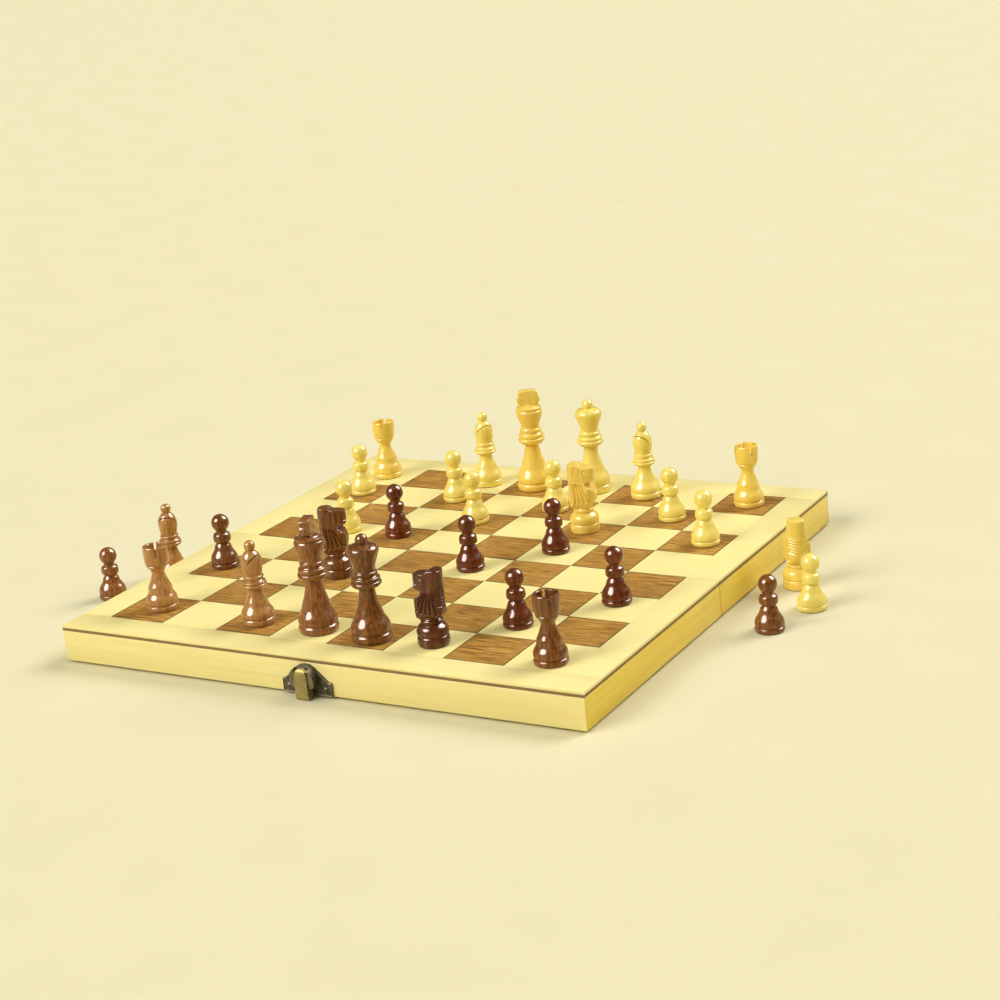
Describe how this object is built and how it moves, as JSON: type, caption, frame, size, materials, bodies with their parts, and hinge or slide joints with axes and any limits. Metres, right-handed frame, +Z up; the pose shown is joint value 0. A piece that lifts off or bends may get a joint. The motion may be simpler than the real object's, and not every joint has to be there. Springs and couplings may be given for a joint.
{
  "type": "folding chess set with board",
  "caption": "Folding inlaid wooden board that closes into a latched, felt-lined box, set out with turned and carved chess pieces.",
  "frame": {"origin": "middle of the open board, on the table", "axes": "+X along the fold line, -Y towards the latch, +Z up"},
  "size_m": [0.3496, 0.2766, 0.0703],
  "materials": {
    "maple": "clear satin lacquer on pale solid wood",
    "inlay": "satin lacquered veneer, pale squares and border with walnut squares",
    "edge": "bare dark hardboard edge",
    "felt": "pressed green felt",
    "bronze": "antiqued bronze plating, rubbed lighter on the raised parts",
    "brass": "plain brass",
    "dark_wood": "dark reddish brown stain under gloss varnish",
    "light_wood": "pale boxwood under gloss varnish"
  },
  "bodies": {
    "front_half": {"front_latch_rail": "maple", "front_hinge_rail": "maple", "front_left_end": "maple", "front_right_end": "maple", "front_panel": "edge", "front_veneer": "inlay", "front_felt": "felt", "hinge_left_front_leaf": "brass", "hinge_right_front_leaf": "brass", "hinge_left_pin": "brass", "hinge_right_pin": "brass", "latch_plate": "bronze", "latch_pin": "brass"},
    "back_half": {"back_catch_rail": "maple", "back_hinge_rail": "maple", "back_left_end": "maple", "back_right_end": "maple", "back_panel": "edge", "back_veneer": "inlay", "back_felt": "felt", "hinge_left_back_leaf": "brass", "hinge_right_back_leaf": "brass", "catch_plate": "bronze"},
    "lever": {"latch_lever": "bronze"},
    "dark_rook_1_body": {"dark_rook_1": "dark_wood"},
    "dark_bishop_1_body": {"dark_bishop_1": "dark_wood"},
    "dark_king_body": {"dark_king": "dark_wood"},
    "dark_queen_body": {"dark_queen": "dark_wood"},
    "dark_knight_1_body": {"dark_knight_1": "dark_wood"},
    "dark_rook_2_body": {"dark_rook_2": "dark_wood"},
    "dark_knight_2_body": {"dark_knight_2": "dark_wood"},
    "dark_pawn_1_body": {"dark_pawn_1": "dark_wood"},
    "dark_pawn_2_body": {"dark_pawn_2": "dark_wood"},
    "dark_pawn_3_body": {"dark_pawn_3": "dark_wood"},
    "dark_pawn_4_body": {"dark_pawn_4": "dark_wood"},
    "dark_pawn_5_body": {"dark_pawn_5": "dark_wood"},
    "dark_pawn_6_body": {"dark_pawn_6": "dark_wood"},
    "light_rook_1_body": {"light_rook_1": "light_wood"},
    "light_bishop_1_body": {"light_bishop_1": "light_wood"},
    "light_king_body": {"light_king": "light_wood"},
    "light_queen_body": {"light_queen": "light_wood"},
    "light_bishop_2_body": {"light_bishop_2": "light_wood"},
    "light_rook_2_body": {"light_rook_2": "light_wood"},
    "light_knight_1_body": {"light_knight_1": "light_wood"},
    "light_pawn_1_body": {"light_pawn_1": "light_wood"},
    "light_pawn_2_body": {"light_pawn_2": "light_wood"},
    "light_pawn_3_body": {"light_pawn_3": "light_wood"},
    "light_pawn_4_body": {"light_pawn_4": "light_wood"},
    "light_pawn_5_body": {"light_pawn_5": "light_wood"},
    "light_pawn_6_body": {"light_pawn_6": "light_wood"},
    "light_pawn_7_body": {"light_pawn_7": "light_wood"},
    "dark_pawn_7_body": {"dark_pawn_7": "dark_wood"},
    "dark_bishop_2_body": {"dark_bishop_2": "dark_wood"},
    "dark_pawn_8_body": {"dark_pawn_8": "dark_wood"},
    "light_knight_2_body": {"light_knight_2": "light_wood"},
    "light_pawn_8_body": {"light_pawn_8": "light_wood"}
  },
  "joints": [
    {"name": "fold", "type": "hinge", "parent": "front_half", "child": "back_half", "pos_m": [0, 0, 0.001], "axis": [-1, 0, 0], "range_deg": [0, 180]},
    {"name": "latch", "type": "hinge", "parent": "front_half", "child": "lever", "pos_m": [0, -0.13705, 0.0126], "axis": [-1, 0, 0], "range_deg": [0, 120]},
    {"name": "lift_dark_rook_1", "type": "slide", "parent": "front_half", "child": "dark_rook_1_body", "axis": [0, 0, 1], "range_m": [0, 0.075]},
    {"name": "lift_dark_bishop_1", "type": "slide", "parent": "front_half", "child": "dark_bishop_1_body", "axis": [0, 0, 1], "range_m": [0, 0.075]},
    {"name": "lift_dark_king", "type": "slide", "parent": "front_half", "child": "dark_king_body", "axis": [0, 0, 1], "range_m": [0, 0.075]},
    {"name": "lift_dark_queen", "type": "slide", "parent": "front_half", "child": "dark_queen_body", "axis": [0, 0, 1], "range_m": [0, 0.075]},
    {"name": "lift_dark_knight_1", "type": "slide", "parent": "front_half", "child": "dark_knight_1_body", "axis": [0, 0, 1], "range_m": [0, 0.075]},
    {"name": "lift_dark_rook_2", "type": "slide", "parent": "front_half", "child": "dark_rook_2_body", "axis": [0, 0, 1], "range_m": [0, 0.075]},
    {"name": "lift_dark_knight_2", "type": "slide", "parent": "front_half", "child": "dark_knight_2_body", "axis": [0, 0, 1], "range_m": [0, 0.075]},
    {"name": "lift_dark_pawn_1", "type": "slide", "parent": "front_half", "child": "dark_pawn_1_body", "axis": [0, 0, 1], "range_m": [0, 0.075]},
    {"name": "lift_dark_pawn_2", "type": "slide", "parent": "back_half", "child": "dark_pawn_2_body", "axis": [0, 0, 1], "range_m": [0, 0.075]},
    {"name": "lift_dark_pawn_3", "type": "slide", "parent": "front_half", "child": "dark_pawn_3_body", "axis": [0, 0, 1], "range_m": [0, 0.075]},
    {"name": "lift_dark_pawn_4", "type": "slide", "parent": "back_half", "child": "dark_pawn_4_body", "axis": [0, 0, 1], "range_m": [0, 0.075]},
    {"name": "lift_dark_pawn_5", "type": "slide", "parent": "front_half", "child": "dark_pawn_5_body", "axis": [0, 0, 1], "range_m": [0, 0.075]},
    {"name": "lift_dark_pawn_6", "type": "slide", "parent": "front_half", "child": "dark_pawn_6_body", "axis": [0, 0, 1], "range_m": [0, 0.075]},
    {"name": "lift_light_rook_1", "type": "slide", "parent": "back_half", "child": "light_rook_1_body", "axis": [0, 0, 1], "range_m": [0, 0.075]},
    {"name": "lift_light_bishop_1", "type": "slide", "parent": "back_half", "child": "light_bishop_1_body", "axis": [0, 0, 1], "range_m": [0, 0.075]},
    {"name": "lift_light_king", "type": "slide", "parent": "back_half", "child": "light_king_body", "axis": [0, 0, 1], "range_m": [0, 0.075]},
    {"name": "lift_light_queen", "type": "slide", "parent": "back_half", "child": "light_queen_body", "axis": [0, 0, 1], "range_m": [0, 0.075]},
    {"name": "lift_light_bishop_2", "type": "slide", "parent": "back_half", "child": "light_bishop_2_body", "axis": [0, 0, 1], "range_m": [0, 0.075]},
    {"name": "lift_light_rook_2", "type": "slide", "parent": "back_half", "child": "light_rook_2_body", "axis": [0, 0, 1], "range_m": [0, 0.075]},
    {"name": "lift_light_knight_1", "type": "slide", "parent": "back_half", "child": "light_knight_1_body", "axis": [0, 0, 1], "range_m": [0, 0.075]},
    {"name": "lift_light_pawn_1", "type": "slide", "parent": "back_half", "child": "light_pawn_1_body", "axis": [0, 0, 1], "range_m": [0, 0.075]},
    {"name": "lift_light_pawn_2", "type": "slide", "parent": "back_half", "child": "light_pawn_2_body", "axis": [0, 0, 1], "range_m": [0, 0.075]},
    {"name": "lift_light_pawn_3", "type": "slide", "parent": "back_half", "child": "light_pawn_3_body", "axis": [0, 0, 1], "range_m": [0, 0.075]},
    {"name": "lift_light_pawn_4", "type": "slide", "parent": "back_half", "child": "light_pawn_4_body", "axis": [0, 0, 1], "range_m": [0, 0.075]},
    {"name": "lift_light_pawn_5", "type": "slide", "parent": "back_half", "child": "light_pawn_5_body", "axis": [0, 0, 1], "range_m": [0, 0.075]},
    {"name": "lift_light_pawn_6", "type": "slide", "parent": "back_half", "child": "light_pawn_6_body", "axis": [0, 0, 1], "range_m": [0, 0.075]},
    {"name": "lift_light_pawn_7", "type": "slide", "parent": "back_half", "child": "light_pawn_7_body", "axis": [0, 0, 1], "range_m": [0, 0.075]},
    {"name": "lift_dark_pawn_7", "type": "slide", "parent": "front_half", "child": "dark_pawn_7_body", "axis": [0, 0, 1], "range_m": [0, 0.075]},
    {"name": "lift_dark_bishop_2", "type": "slide", "parent": "front_half", "child": "dark_bishop_2_body", "axis": [0, 0, 1], "range_m": [0, 0.075]},
    {"name": "lift_dark_pawn_8", "type": "slide", "parent": "front_half", "child": "dark_pawn_8_body", "axis": [0, 0, 1], "range_m": [0, 0.075]},
    {"name": "lift_light_knight_2", "type": "slide", "parent": "front_half", "child": "light_knight_2_body", "axis": [0, 0, 1], "range_m": [0, 0.075]},
    {"name": "lift_light_pawn_8", "type": "slide", "parent": "front_half", "child": "light_pawn_8_body", "axis": [0, 0, 1], "range_m": [0, 0.075]}
  ]
}
